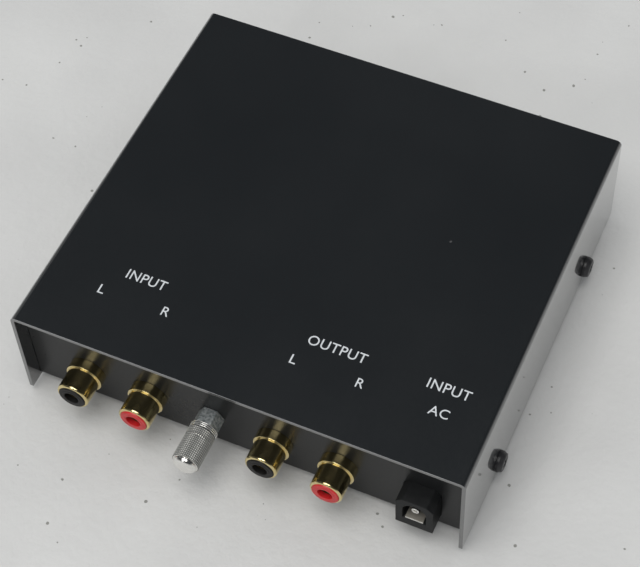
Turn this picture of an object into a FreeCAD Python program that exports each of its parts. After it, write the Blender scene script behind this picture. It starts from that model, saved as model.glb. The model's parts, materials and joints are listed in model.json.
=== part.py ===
import FreeCAD, Part
import os
import re
import Sketcher
from FreeCAD import Placement, Rotation, Vector

# A small phono preamplifier in a folded steel case. Lengths are millimetres. X runs to the right along the
# socket panel, Y from the sockets to the back and Z up from what the rubber feet stand on.

# Driving sizes of the case and its screws
CASE_SIZES = {
    "case_width": 116.0,
    "case_depth": 107.0,
    "case_height": 30.0,
    "sheet_thick": 1.0,
    "bend_radius": 1.5,
    "panel_recess": 4.0,
    "cover_gap": 0.1,
    "lip_height": 9.0,
    "lip_setback": 4.0,
    "screw_setback": 22.6,
    "screw_height": 5.1,
    "foot_height": 2.0,
    "foot_radius": 4.5,
    "foot_chamfer": 0.5,
    "foot_inset": 12.0,
    "foot_setback": 15.0,
    "screw_head_radius": 2.75,
    "screw_head_thick": 1.85,
    "screw_head_round": 0.6,
    "screw_shank_radius": 1.45,
    "screw_shank_length": 5.0,
    "thread_gap": 0.05,
    "screw_hole_gap": 0.25,
    "drive_width": 0.6,
    "drive_length": 3.0,
    "drive_depth": 1.0,
}

# Driving sizes of the four phono sockets
SOCKET_SIZES = {
    "socket_pitch": 16.73,
    "socket_margin": 16.27,
    "socket_height": 11.2,
    "barrel_radius": 4.15,
    "barrel_length": 5.8,
    "barrel_bore": 3.25,
    "barrel_depth": 6.8,
    "rim_round": 0.4,
    "shoulder_radius": 4.7,
    "shoulder_thick": 2.7,
    "bushing_radius": 3.0,
    "bushing_length": 8.0,
    "panel_hole_gap": 0.1,
    "insulator_recess": 0.25,
    "insulator_ring": 2.5,
    "insulator_ring_rise": 0.2,
    "insulator_tail": 1.0,
    "sleeve_radius": 2.4,
    "seat_gap": 0.05,
    "contact_radius": 1.85,
    "contact_bore": 1.62,
    "contact_recess": 1.0,
    "contact_depth": 9.0,
    "contact_tail_radius": 0.8,
    "contact_tail": 3.0,
    "lock_nut_across": 8.0,
    "lock_nut_thick": 2.0,
    "tag_thick": 0.5,
    "tag_radius": 4.4,
    "tag_leg": 2.0,
    "tag_foot": 2.0,
}

# Driving sizes of the ground terminal
TERMINAL_SIZES = {
    "terminal_height": 11.5,
    "stud_radius": 1.95,
    "stud_front": 6.0,
    "stud_back": 7.5,
    "stud_chamfer": 0.4,
    "collar_across": 6.0,
    "collar_thick": 4.0,
    "washer_radius": 3.45,
    "washer_thick": 0.46,
    "washer_chamfer": 0.12,
    "washer_count": 3,
    "thumb_radius": 3.45,
    "thumb_length": 8.9,
    "thumb_chamfer": 0.35,
    "thumb_bore_depth": 7.5,
    "nose_radius": 3.05,
    "nose_length": 1.3,
    "nose_round": 1.0,
    "lug_radius": 3.8,
    "terminal_nut_across": 7.0,
    "terminal_nut_thick": 3.0,
}

# Driving sizes of the low-voltage inlet
INLET_SIZES = {
    "inlet_margin": 11.85,
    "inlet_width": 9.4,
    "inlet_height": 11.0,
    "inlet_length": 14.2,
    "inlet_reach": 1.2,
    "inlet_corner": 1.6,
    "inlet_gap": 0.15,
    "inlet_axis": 6.5,
    "inlet_mouth": 2.95,
    "inlet_floor": 2.9,
    "inlet_depth": 10.0,
    "inlet_pin_radius": 1.0,
    "inlet_pin_shank": 0.7,
    "inlet_pin_recess": 0.6,
    "inlet_pin_round": 0.5,
    "inlet_pin_tail": 1.5,
    "leaf_width": 4.5,
    "leaf_thick": 0.4,
    "leaf_setback": 0.5,
    "leaf_drop": 0.1,
    "leaf_clear": 0.15,
    "leaf_rise": 0.25,
}

# Driving sizes of the circuit board and what it carries
BOARD_SIZES = {
    "board_top": 4.5,
    "board_thick": 1.6,
    "board_screw_gap": 2.5,
    "board_setback": 1.0,
    "board_back_gap": 8.0,
    "mount_inset": 5.0,
    "mount_front": 22.0,
    "mount_back": 6.0,
    "standoff_radius": 3.0,
    "chip_length": 9.8,
    "chip_width": 6.4,
    "chip_thick": 3.3,
    "chip_notch": 0.8,
    "chip_base_margin": 0.4,
    "chip_base_height": 4.2,
    "chip_spread": 22.0,
    "chip_row": 46.0,
    "coupling_radius": 4.0,
    "coupling_height": 11.5,
    "coupling_row": 56.0,
    "reservoir_radius": 6.3,
    "reservoir_height": 20.0,
    "reservoir_spread": 12.0,
    "reservoir_row": 68.0,
    "can_round": 0.5,
    "film_length": 10.0,
    "film_thick": 4.5,
    "film_height": 8.0,
    "film_row": 28.0,
    "film_round": 0.6,
    "resistor_radius": 1.15,
    "resistor_length": 6.3,
    "resistor_span": 10.0,
    "resistor_row": 38.0,
    "resistor_pitch": 5.0,
    "diode_radius": 1.35,
    "diode_length": 5.2,
    "diode_margin": 14.5,
    "diode_row": 74.0,
    "diode_pitch": 4.5,
    "lead_radius": 0.35,
    "lead_foot": 0.5,
    "regulator_width": 10.0,
    "regulator_thick": 4.5,
    "regulator_height": 9.0,
    "regulator_tab": 6.5,
    "regulator_tab_thick": 1.3,
    "regulator_tab_hole": 1.8,
    "regulator_leg": 4.0,
    "regulator_spread": 36.0,
    "pin_pitch": 2.54,
    "pin_width": 0.64,
    "pin_height": 6.0,
    "header_height": 2.5,
    "header_row": 18.0,
    "shunt_roof": 0.5,
    "shunt_margin": 0.03,
    "shunt_gap": 0.05,
    "wire_radius": 0.6,
    "wire_bend": 3.0,
    "wire_run": 1.5,
}

SIZES = {**CASE_SIZES, **SOCKET_SIZES, **TERMINAL_SIZES, **INLET_SIZES, **BOARD_SIZES}

# Places worked out from the sizes, as formulas
TERMINAL_STACK = "(collar_thick + washer_count * washer_thick + thumb_length + nose_length)"
FRONT_EDGE = f"(({TERMINAL_STACK} - panel_recess - case_depth) / 2)"
HALF_TRAY = "(case_width / 2 - sheet_thick - cover_gap)"
PANEL_TOP = "(case_height - sheet_thick - cover_gap)"
PANEL_BACK = "(panel_recess + sheet_thick)"
BOARD_WIDTH = "(case_width - 2 * (screw_shank_length + board_screw_gap))"
BOARD_FRONT = f"({PANEL_BACK} + board_setback)"
BOARD_DEPTH = f"(case_depth - {BOARD_FRONT} - {PANEL_BACK} - board_back_gap)"
TERMINAL_PLACE = "(socket_margin + 2 * socket_pitch - case_width / 2)"
INLET_PLACE = "(case_width / 2 - inlet_margin)"
SOCKET_FRONT = "(panel_recess - shoulder_thick - barrel_length)"
SOCKET_LENGTH = "(barrel_length + shoulder_thick + bushing_length)"
THUMB_BACK = "(panel_recess - collar_thick - washer_count * washer_thick)"
INLET_FACE = "(0 - inlet_reach)"

document = FreeCAD.newDocument("phono_preamp")
sheet = document.addObject("Spreadsheet::Sheet", "sizes")
for row, (name, number) in enumerate(SIZES.items(), start=1):
    sheet.set(f"A{row}", str(number))
    sheet.setAlias(f"A{row}", name)
document.recompute()

pieces = []


def formula(text):
    """A formula of size names, as the document reads it."""
    return re.sub(r"[a-z_]+", lambda word: "sizes." + word[0] if word[0] in SIZES else word[0], text)


def value(text):
    """What a formula of size names comes to."""
    probe = document.addObject("App::FeaturePython", "probe")
    probe.addProperty("App::PropertyFloat", "Result")
    probe.setExpression("Result", formula(text))
    probe.recompute()
    result = probe.Result
    document.removeObject(probe.Name)
    return result


def bind(item, **formulas):
    """Ties properties of an object to formulas of size names."""
    for name, text in formulas.items():
        item.setExpression(name, formula(text))
    return item


def place(item, across, back, up, turn=None):
    """Puts an object at a place measured from the cover's front edge and its lower edges."""
    if turn:
        item.Placement = Placement(Vector(), turn)
    item.setExpression("Placement.Base.x", formula(across))
    item.setExpression("Placement.Base.y", formula(f"{FRONT_EDGE} + {back}"))
    item.setExpression("Placement.Base.z", formula(f"foot_height + {up}"))
    return item


def piece(item, label):
    """Names an object as a piece of the assembly."""
    item.Label = label
    pieces.append(item)
    return item


# The turns that point a part's own X axis to the left, or its own Z axis to the back
X_TO_LEFT = Rotation(Vector(0, 0, 1), 180)
Z_TO_Y = Rotation(Vector(1, 0, 0), -90)


def add_body(name):
    return document.addObject("PartDesign::Body", name)


def add_sketch(body, role, offset="0"):
    """An empty sketch on an origin plane of a body, moved along the plane's normal."""
    sketch = body.newObject("Sketcher::SketchObject", body.Name + "_sketch")
    plane = next(item for item in body.Origin.OriginFeatures if item.Role == role)
    sketch.AttachmentSupport = (plane, "")
    sketch.MapMode = "FlatFace"
    sketch.setExpression("AttachmentOffset.Base.z", formula(offset))
    return sketch


def fix(sketch, geometry, point, across, up):
    """Ties a point of a sketch to a formula each way, or one way where the other is None."""
    ties = [(kind, text) for kind, text in (("DistanceX", across), ("DistanceY", up)) if text is not None]
    for kind, text in ties:
        constraint = Sketcher.Constraint(kind, -1, 1, geometry, point, value(text))
        index = sketch.addConstraint(constraint)
        sketch.setExpression(f"Constraints[{index}]", formula(text))


def draw_outline(sketch, corners):
    """A closed outline of straight lines through the given corners."""
    first = sketch.GeometryCount
    spots = [Vector(value(across), value(up), 0) for across, up in corners]
    for start, end in zip(spots, spots[1:] + spots[:1]):
        sketch.addGeometry(Part.LineSegment(start, end), False)
    for index in range(len(corners)):
        following = first + (index + 1) % len(corners)
        sketch.addConstraint(Sketcher.Constraint("Coincident", first + index, 2, following, 1))
    for index, (across, up) in enumerate(corners):
        fix(sketch, first + index, 1, across, up)


def draw_circle(sketch, across, up, radius):
    spot = Vector(value(across), value(up), 0)
    circle = sketch.addGeometry(Part.Circle(spot, Vector(0, 0, 1), value(radius)), False)
    index = sketch.addConstraint(Sketcher.Constraint("Radius", circle, value(radius)))
    sketch.setExpression(f"Constraints[{index}]", formula(radius))
    fix(sketch, circle, 3, across, up)


def pad(body, sketch, length, **settings):
    feature = body.newObject("PartDesign::Pad", body.Name + "_pad")
    feature.Profile = sketch
    for name, setting in settings.items():
        setattr(feature, name, setting)
    bind(feature, Length=length)
    document.recompute()
    return feature


def pocket(body, sketch, length):
    """Cuts evenly to both sides of the sketch, and makes sure that something was cut."""
    document.recompute()
    before = body.Shape.Volume
    feature = body.newObject("PartDesign::Pocket", body.Name + "_pocket")
    feature.Profile = sketch
    feature.Midplane = True
    bind(feature, Length=length)
    document.recompute()
    if body.Shape.Volume >= before:
        raise RuntimeError(feature.Name + " cuts nothing")
    return feature


def soften(body, kind, size, chosen):
    """Rounds or bevels the edges of a body that a test picks out."""
    document.recompute()
    names = [f"Edge{number}" for number, edge in enumerate(body.Shape.Edges, start=1) if chosen(edge)]
    if not names:
        raise RuntimeError(body.Name + " has no such edge")
    base = body.Tip
    feature = body.newObject("PartDesign::" + kind, body.Name + "_" + kind.lower())
    feature.Base = (base, names)
    bind(feature, **{"Radius" if kind == "Fillet" else "Size": size})
    document.recompute()
    return feature


# Places of edges nearer to each other than this count as one
NEAR = 0.001


def along(edge, axis, **spots):
    """Says whether an edge runs along an axis and through the given places on the other two."""
    box = edge.BoundBox
    ends = {"x": (box.XMin, box.XMax), "y": (box.YMin, box.YMax), "z": (box.ZMin, box.ZMax)}
    low, high = ends.pop(axis)
    straight = high - low > NEAR and all(far - near < NEAR for near, far in ends.values())
    return straight and all(abs(ends[name][0] - spot) < NEAR for name, spot in spots.items())


def ring_at(edge, radius, axis, spot):
    """Says whether an edge is a circle of a radius, at a place along an axis."""
    if not isinstance(edge.Curve, Part.Circle):
        return False
    reach = getattr(edge.Curve.Center, axis)
    return abs(edge.Curve.Radius - radius) < NEAR and abs(reach - spot) < NEAR


def turned(name, axis, profile):
    """A body turned about its own X, Y or Z axis from a profile of (place along the axis, radius)."""
    body = add_body(name)
    sketch = add_sketch(body, "XZ_Plane" if axis == "z" else "XY_Plane")
    corners = [(spot, radius) if axis == "x" else (radius, spot) for spot, radius in profile]
    draw_outline(sketch, corners)
    feature = body.newObject("PartDesign::Revolution", name + "_turning")
    feature.Profile = sketch
    feature.ReferenceAxis = (sketch, ["H_Axis" if axis == "x" else "V_Axis"])
    feature.Angle = 360
    document.recompute()
    return body


def box(name, across, back, up, length, width, height):
    """A block whose place is its left, front, lower corner."""
    item = document.addObject("Part::Box", name)
    bind(item, Length=length, Width=width, Height=height)
    return place(item, across, back, up)


def rod(name, across, back, up, radius, length, turn=None):
    """A round rod that rises from a place, or runs back from it where it is turned."""
    item = document.addObject("Part::Cylinder", name)
    bind(item, Radius=radius, Height=length)
    return place(item, across, back, up, turn)


def hex_bar(name, across, back, up, flats, length):
    """A six-sided bar that runs back from a place."""
    item = document.addObject("Part::Prism", name)
    item.Polygon = 6
    bind(item, Circumradius=f"{flats} / sqrt(3)", Height=length)
    return place(item, across, back, up, Z_TO_Y)


def join(name, items):
    item = document.addObject("Part::MultiFuse", name)
    item.Shapes = items
    item.Refine = True
    return item


def cut(name, base, tools):
    """A base with one or more tools taken away."""
    item = document.addObject("Part::Cut", name)
    item.Base = base
    item.Tool = tools[0] if len(tools) == 1 else join(name + "_tools", tools)
    document.recompute()
    if item.Shape.Volume >= base.Shape.Volume:
        raise RuntimeError(name + " loses nothing")
    return item


def copies(label, form, spots):
    """Equal pieces as one group: a form repeated at places, each (across, back, up, turn)."""
    links = []
    for across, back, up, turn in spots:
        link = document.addObject("App::Link", label + "_copy")
        link.LinkedObject = form
        link.LinkTransform = False
        links.append(place(link, across, back, up, turn))
    group = document.addObject("Part::Compound", label)
    group.Links = links
    return piece(group, label)


# The folded cover: a top with a flange down each side
def make_cover():
    body = add_body("top_cover")
    outline = add_sketch(body, "XZ_Plane")
    half = "case_width / 2"
    inner = "case_width / 2 - sheet_thick"
    roof = "case_height - sheet_thick"
    corners = [(f"0 - {half}", "0"), (f"0 - {half}", "case_height"), (half, "case_height"), (half, "0"),
               (inner, "0"), (inner, roof), (f"0 - ({inner})", roof), (f"0 - ({inner})", "0")]
    draw_outline(outline, corners)
    pad(body, outline, "case_depth", Reversed=True)
    outer_x, inner_x = value(half), value(inner)
    top, under = value("case_height"), value(roof)
    soften(body, "Fillet", "bend_radius",
           lambda edge: any(along(edge, "y", x=side * outer_x, z=top) for side in (-1, 1)))
    soften(body, "Fillet", "bend_radius - sheet_thick",
           lambda edge: any(along(edge, "y", x=side * inner_x, z=under) for side in (-1, 1)))
    holes = add_sketch(body, "YZ_Plane")
    for spot in ("screw_setback", "case_depth - screw_setback"):
        draw_circle(holes, spot, "screw_height", "screw_shank_radius + screw_hole_gap")
    pocket(body, holes, "case_width * 2")
    piece(place(body, "0", "0", "0"), "top_cover")


# The folded tray: a floor with low side lips, a socket panel and a back panel
def make_tray():
    body = add_body("chassis_tray")
    section = add_sketch(body, "XZ_Plane", "0 - (panel_recess + lip_setback)")
    inner = f"{HALF_TRAY} - sheet_thick"
    corners = [(f"0 - {HALF_TRAY}", "0"), (f"0 - {HALF_TRAY}", "lip_height"),
               (f"0 - ({inner})", "lip_height"), (f"0 - ({inner})", "sheet_thick"),
               (inner, "sheet_thick"), (inner, "lip_height"), (HALF_TRAY, "lip_height"), (HALF_TRAY, "0")]
    draw_outline(section, corners)
    pad(body, section, "case_depth - 2 * (panel_recess + lip_setback)", Reversed=True)
    side = value(HALF_TRAY)
    soften(body, "Fillet", "bend_radius",
           lambda edge: any(along(edge, "y", x=sign * side, z=0) for sign in (-1, 1)))
    for face, inward in (("panel_recess", 1), ("case_depth - panel_recess", -1)):
        panel = add_sketch(body, "YZ_Plane")
        back = f"{face} + {inward} * sheet_thick"
        floor_end = f"{face} + {inward} * lip_setback"
        draw_outline(panel, [(face, "0"), (floor_end, "0"), (floor_end, "sheet_thick"), (back, "sheet_thick"),
                             (back, PANEL_TOP), (face, PANEL_TOP)])
        pad(body, panel, f"2 * {HALF_TRAY}", Midplane=True)
    roof = value(PANEL_TOP)
    soften(body, "Chamfer", "bend_radius - sheet_thick",
           lambda edge: any(along(edge, "y", x=sign * side, z=roof) for sign in (-1, 1)))
    faces = [value("panel_recess"), value("case_depth - panel_recess")]
    soften(body, "Fillet", "bend_radius", lambda edge: any(along(edge, "x", y=face, z=0) for face in faces))

    openings = add_sketch(body, "XZ_Plane", "0 - (panel_recess + sheet_thick / 2)")
    for step in (-2, -1, 1, 2):
        draw_circle(openings, socket_place(step), "socket_height", "bushing_radius + panel_hole_gap")
    draw_circle(openings, TERMINAL_PLACE, "terminal_height", "stud_radius + panel_hole_gap")
    draw_outline(openings, inlet_outline("inlet_gap"))
    pocket(body, openings, "2 * sheet_thick")
    threads = add_sketch(body, "YZ_Plane")
    for spot in ("screw_setback", "case_depth - screw_setback"):
        draw_circle(threads, spot, "screw_height", "screw_shank_radius + thread_gap")
    pocket(body, threads, "case_width * 2")
    piece(place(body, "0", "0", "0"), "chassis_tray")


def socket_place(step):
    """How far across a socket is, counted in steps of the pitch from the ground terminal."""
    return f"{TERMINAL_PLACE} + {step} * socket_pitch"


def inlet_outline(margin):
    """The inlet's outline with bevelled upper corners, grown by a margin all round."""
    left = f"{INLET_PLACE} - inlet_width / 2 - {margin}"
    right = f"{INLET_PLACE} + inlet_width / 2 + {margin}"
    low = f"board_top - {margin}"
    high = f"board_top + inlet_height + {margin}"
    return [(left, low), (left, f"{high} - inlet_corner"), (f"{left} + inlet_corner", high),
            (f"{right} - inlet_corner", high), (right, f"{high} - inlet_corner"), (right, low)]


# A pan-head screw that lies along X with the underside of its head at the origin
def make_screw_form():
    form = turned("screw_form", "x", [
        ("0 - screw_shank_length", "0"), ("0 - screw_shank_length", "screw_shank_radius"),
        ("0", "screw_shank_radius"), ("0", "screw_head_radius"),
        ("screw_head_thick", "screw_head_radius"), ("screw_head_thick", "0")])
    rim = value("screw_head_radius")
    face = value("screw_head_thick")
    soften(form, "Fillet", "screw_head_round", lambda edge: ring_at(edge, rim, "x", face))
    drive = add_sketch(form, "YZ_Plane", "screw_head_thick")
    arm = "drive_length / 2"
    flank = "drive_width / 2"
    quarter = [(flank, arm), (flank, flank), (arm, flank)]
    lower = [(x, f"0 - {y}") for x, y in reversed(quarter)]
    right = quarter + lower
    left = [(f"0 - {x}", y) for x, y in reversed(right)]
    draw_outline(drive, right + left)
    pocket(form, drive, "2 * drive_depth")
    return form


def make_screws_and_feet(form):
    side = "case_width / 2"
    spots = [(sign + side, back, "screw_height", turn)
             for sign, turn in (("0 - ", X_TO_LEFT), ("0 + ", None))
             for back in ("screw_setback", "(case_depth - screw_setback)")]
    copies("cover_screws", form, spots)
    foot = turned("foot_form", "z", [
        ("0", "0"), ("0", "foot_radius - foot_chamfer"), ("foot_chamfer", "foot_radius"),
        ("foot_height", "foot_radius"), ("foot_height", "0")])
    inset = "(case_width / 2 - foot_inset)"
    feet = [(sign + inset, back, "0 - foot_height", None)
            for sign in ("0 - ", "0 + ") for back in ("foot_setback", "(case_depth - foot_setback)")]
    copies("rubber_feet", foot, feet)


# One phono socket: a plated shell, its insulator and contact, and the nut and tag behind the panel
def make_socket(label, step):
    across = socket_place(step)
    shell = turned(label + "_shell", "y", [
        ("0", "barrel_bore"), ("0", "barrel_radius"), ("barrel_length", "barrel_radius"),
        ("barrel_length", "shoulder_radius"), ("barrel_length + shoulder_thick", "shoulder_radius"),
        ("barrel_length + shoulder_thick", "bushing_radius"), (SOCKET_LENGTH, "bushing_radius"),
        (SOCKET_LENGTH, "sleeve_radius + seat_gap"), ("barrel_depth", "sleeve_radius + seat_gap"),
        ("barrel_depth", "barrel_bore")])
    rims = [value("barrel_bore"), value("barrel_radius")]
    soften(shell, "Fillet", "rim_round", lambda edge: any(ring_at(edge, rim, "y", 0) for rim in rims))
    piece(place(shell, across, SOCKET_FRONT, "socket_height"), label + "_shell")

    core_end = f"{SOCKET_LENGTH} + insulator_tail"
    core = "contact_radius + seat_gap"
    ring_face = "insulator_recess - insulator_ring_rise"
    insulator = turned(label + "_insulator", "y", [
        (ring_face, core), (ring_face, "insulator_ring"), ("insulator_recess", "insulator_ring"),
        ("insulator_recess", "barrel_bore - seat_gap"),
        ("barrel_depth", "barrel_bore - seat_gap"), ("barrel_depth", "sleeve_radius"),
        (core_end, "sleeve_radius"), (core_end, core)])
    piece(place(insulator, across, SOCKET_FRONT, "socket_height"), label + "_insulator")

    contact = turned(label + "_contact", "y", [
        ("contact_recess", "contact_bore"), ("contact_recess", "contact_radius"),
        (core_end, "contact_radius"), (core_end, "contact_tail_radius"),
        (f"{core_end} + contact_tail", "contact_tail_radius"), (f"{core_end} + contact_tail", "0"),
        ("contact_depth", "0"), ("contact_depth", "contact_bore")])
    piece(place(contact, across, SOCKET_FRONT, "socket_height"), label + "_contact")

    hole = "bushing_radius + thread_gap"
    disc = rod(label + "_disc", across, PANEL_BACK, "socket_height", "tag_radius", "tag_thick", Z_TO_Y)
    leg = box(label + "_leg", f"{across} - tag_leg / 2", PANEL_BACK, "board_top",
              "tag_leg", "tag_thick", "socket_height - board_top")
    foot = box(label + "_foot", f"{across} - tag_leg / 2", PANEL_BACK, "board_top",
               "tag_leg", "board_setback + tag_foot", "tag_thick")
    eye = rod(label + "_eye", across, PANEL_BACK, "socket_height", hole, "tag_thick", Z_TO_Y)
    tag = cut(label + "_ground_tag", join(label + "_tag_plate", [disc, leg, foot]), [eye])
    piece(tag, label + "_ground_tag")

    nut_face = f"{PANEL_BACK} + tag_thick"
    blank = hex_bar(label + "_blank", across, nut_face, "socket_height", "lock_nut_across", "lock_nut_thick")
    thread = rod(label + "_thread", across, nut_face, "socket_height", hole, "lock_nut_thick", Z_TO_Y)
    piece(cut(label + "_lock_nut", blank, [thread]), label + "_lock_nut")


# The ground terminal: a stud through the panel with a knurled thumb nut outside and a solder lug inside
def make_terminal():
    across, up = TERMINAL_PLACE, "terminal_height"
    stud_length = f"(stud_front + panel_recess - {THUMB_BACK} + sheet_thick + stud_back)"
    stud = turned("ground_stud", "y", [
        ("0", "0"), ("0", "stud_radius - stud_chamfer"), ("stud_chamfer", "stud_radius"),
        (f"{stud_length} - stud_chamfer", "stud_radius"), (stud_length, "stud_radius - stud_chamfer"),
        (stud_length, "0")])
    piece(place(stud, across, f"{THUMB_BACK} - stud_front", up), "ground_stud")

    hole = "stud_radius + thread_gap"
    collar_face = "(panel_recess - collar_thick)"
    blank = hex_bar("collar_blank", across, collar_face, up, "collar_across", "collar_thick")
    eye = rod("collar_eye", across, collar_face, up, hole, "collar_thick", Z_TO_Y)
    piece(cut("ground_collar_nut", blank, [eye]), "ground_collar_nut")

    washer = turned("ground_washers", "y", [
        ("0", hole), ("0", "washer_radius - washer_chamfer"), ("washer_chamfer", "washer_radius"),
        ("washer_thick - washer_chamfer", "washer_radius"),
        ("washer_thick", "washer_radius - washer_chamfer"), ("washer_thick", hole)])
    rows = washer.newObject("PartDesign::LinearPattern", "ground_washers_rows")
    rows.Originals = [washer.Tip]
    rows.Direction = (washer.Tip.Profile[0], ["V_Axis"])
    bind(rows, Length="washer_thick * (washer_count - 1)", Occurrences="washer_count")
    washer.Tip = rows
    document.recompute()
    piece(place(washer, across, THUMB_BACK, up), "ground_washers")

    nose = "(nose_length + thumb_length)"
    thumb = turned("ground_thumb_nut", "y", [
        ("0", "0"), ("0", "nose_radius"), ("nose_length", "nose_radius"),
        ("nose_length", "thumb_radius - thumb_chamfer"), ("nose_length + thumb_chamfer", "thumb_radius"),
        (f"{nose} - thumb_chamfer", "thumb_radius"), (nose, "thumb_radius - thumb_chamfer"),
        (nose, hole), (f"{nose} - thumb_bore_depth", hole), (f"{nose} - thumb_bore_depth", "0")])
    tip = value("nose_radius")
    soften(thumb, "Fillet", "nose_round", lambda edge: ring_at(edge, tip, "y", 0))
    piece(place(thumb, across, f"{THUMB_BACK} - {nose}", up), "ground_thumb_nut")

    disc = rod("lug_disc", across, PANEL_BACK, up, "lug_radius", "tag_thick", Z_TO_Y)
    leg = box("lug_leg", f"{across} - tag_leg / 2", PANEL_BACK, "board_top",
              "tag_leg", "tag_thick", "terminal_height - board_top")
    foot = box("lug_foot", f"{across} - tag_leg / 2", PANEL_BACK, "board_top",
               "tag_leg", "board_setback + tag_foot", "tag_thick")
    lug_eye = rod("lug_eye", across, PANEL_BACK, up, hole, "tag_thick", Z_TO_Y)
    piece(cut("ground_lug", join("lug_plate", [disc, leg, foot]), [lug_eye]), "ground_lug")

    nut_face = f"{PANEL_BACK} + tag_thick"
    nut = hex_bar("terminal_nut_blank", across, nut_face, up, "terminal_nut_across", "terminal_nut_thick")
    thread = rod("terminal_nut_thread", across, nut_face, up, hole, "terminal_nut_thick", Z_TO_Y)
    piece(cut("ground_inner_nut", nut, [thread]), "ground_inner_nut")


# The low-voltage inlet: a moulded housing with a stepped centre pin and a sleeve contact on the cavity floor
def make_inlet():
    housing = add_body("inlet_housing")
    outline = add_sketch(housing, "XZ_Plane", "inlet_reach")
    draw_outline(outline, inlet_outline("0"))
    pad(housing, outline, "inlet_length", Reversed=True)
    axis_up = "board_top + inlet_axis"
    floor_up = "board_top + inlet_floor"
    left, right = f"{INLET_PLACE} - inlet_mouth", f"{INLET_PLACE} + inlet_mouth"
    mouth = add_sketch(housing, "XZ_Plane", "inlet_reach")
    draw_outline(mouth, [(left, floor_up), (right, floor_up), (right, axis_up), (left, axis_up)])
    pocket(housing, mouth, "2 * inlet_depth")
    dome = add_sketch(housing, "XZ_Plane", "inlet_reach")
    draw_circle(dome, INLET_PLACE, axis_up, "inlet_mouth")
    pocket(housing, dome, "2 * inlet_depth")
    bore = add_sketch(housing, "XZ_Plane", "inlet_reach")
    draw_circle(bore, INLET_PLACE, axis_up, "inlet_pin_shank + seat_gap")
    pocket(housing, bore, "2 * inlet_length + 2")
    piece(place(housing, "0", "0", "0"), "inlet_housing")

    pin_seat = "(inlet_depth - inlet_pin_recess)"
    pin_end = "(inlet_length - inlet_pin_recess + inlet_pin_tail)"
    pin = turned("inlet_pin", "y", [
        ("0", "0"), ("0", "inlet_pin_radius"), (pin_seat, "inlet_pin_radius"), (pin_seat, "inlet_pin_shank"),
        (pin_end, "inlet_pin_shank"), (pin_end, "0")])
    tip = value("inlet_pin_radius")
    soften(pin, "Fillet", "inlet_pin_round", lambda edge: ring_at(edge, tip, "y", 0))
    piece(place(pin, INLET_PLACE, f"{INLET_FACE} + inlet_pin_recess", f"({axis_up})"), "inlet_pin")

    leaf = add_body("inlet_leaf")
    side = add_sketch(leaf, "YZ_Plane", INLET_PLACE)
    low = f"({floor_up} + leaf_clear)"
    front = f"({INLET_FACE} + leaf_setback)"
    back = f"({INLET_FACE} + inlet_depth - leaf_clear)"
    draw_outline(side, [
        (front, f"{low} - leaf_drop"), (f"{front} + leaf_thick", f"{low} - leaf_drop"),
        (f"{front} + leaf_thick", low), (back, f"{low} + leaf_rise"),
        (back, f"{low} + leaf_rise + leaf_thick"), (front, f"{low} + leaf_thick")])
    pad(leaf, side, "leaf_width", Midplane=True)
    piece(place(leaf, "0", "0", "0"), "inlet_leaf")


# The circuit board on its standoffs
def make_board():
    left = f"(0 - {BOARD_WIDTH} / 2)"
    bottom = "(board_top - board_thick)"
    plate = box("board_plate", left, BOARD_FRONT, bottom, BOARD_WIDTH, BOARD_DEPTH, "board_thick")
    inset = f"({BOARD_WIDTH} / 2 - mount_inset)"
    rows = (f"({BOARD_FRONT} + mount_front)", f"({BOARD_FRONT} + {BOARD_DEPTH} - mount_back)")
    spots = [(sign + inset, back) for sign in ("0 - ", "0 + ") for back in rows]
    holes = [rod("board_hole", across, back, bottom, "screw_shank_radius + screw_hole_gap", "board_thick")
             for across, back in spots]
    piece(cut("circuit_board", plate, holes), "circuit_board")
    gap = "(board_top - board_thick - sheet_thick)"
    bore = "screw_shank_radius + thread_gap"
    standoff = turned("standoff_form", "z", [
        ("0", bore), ("0", "standoff_radius"), (gap, "standoff_radius"), (gap, bore)])
    copies("board_standoffs", standoff, [(across, back, "sheet_thick", None) for across, back in spots])
    screw = turned("board_screw_form", "z", [
        (f"0 - board_thick - {gap}", "0"), (f"0 - board_thick - {gap}", "screw_shank_radius"),
        ("0", "screw_shank_radius"), ("0", "screw_head_radius"),
        ("screw_head_thick", "screw_head_radius"), ("screw_head_thick", "0")])
    copies("board_screws", screw, [(across, back, "board_top", None) for across, back in spots])


# The parts soldered to the board
def make_chips():
    back = f"{BOARD_FRONT} + chip_row"
    base_length = "(chip_length + 2 * chip_base_margin)"
    base_width = "(chip_width + 2 * chip_base_margin)"
    for label, sign in (("left", "0 - "), ("right", "0 + ")):
        across = f"({sign}chip_spread)"
        base = box(label + "_chip_socket", f"{across} - {base_length} / 2", f"{back} - {base_width} / 2",
                   "board_top", base_length, base_width, "chip_base_height")
        piece(base, label + "_chip_socket")
        block = box(label + "_chip_block", f"{across} - chip_length / 2", f"{back} - chip_width / 2",
                    "board_top + chip_base_height", "chip_length", "chip_width", "chip_thick")
        notch = rod(label + "_chip_notch", f"{across} - chip_length / 2", back,
                    "board_top + chip_base_height + chip_thick - chip_notch", "chip_notch", "chip_notch")
        piece(cut(label + "_amplifier_chip", block, [notch]), label + "_amplifier_chip")


def can_form(name, radius, height):
    form = turned(name, "z", [("0", "0"), ("0", radius), (height, radius), (height, "0")])
    rim, top = value(radius), value(height)
    soften(form, "Fillet", "can_round", lambda edge: ring_at(edge, rim, "z", top))
    return form


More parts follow.
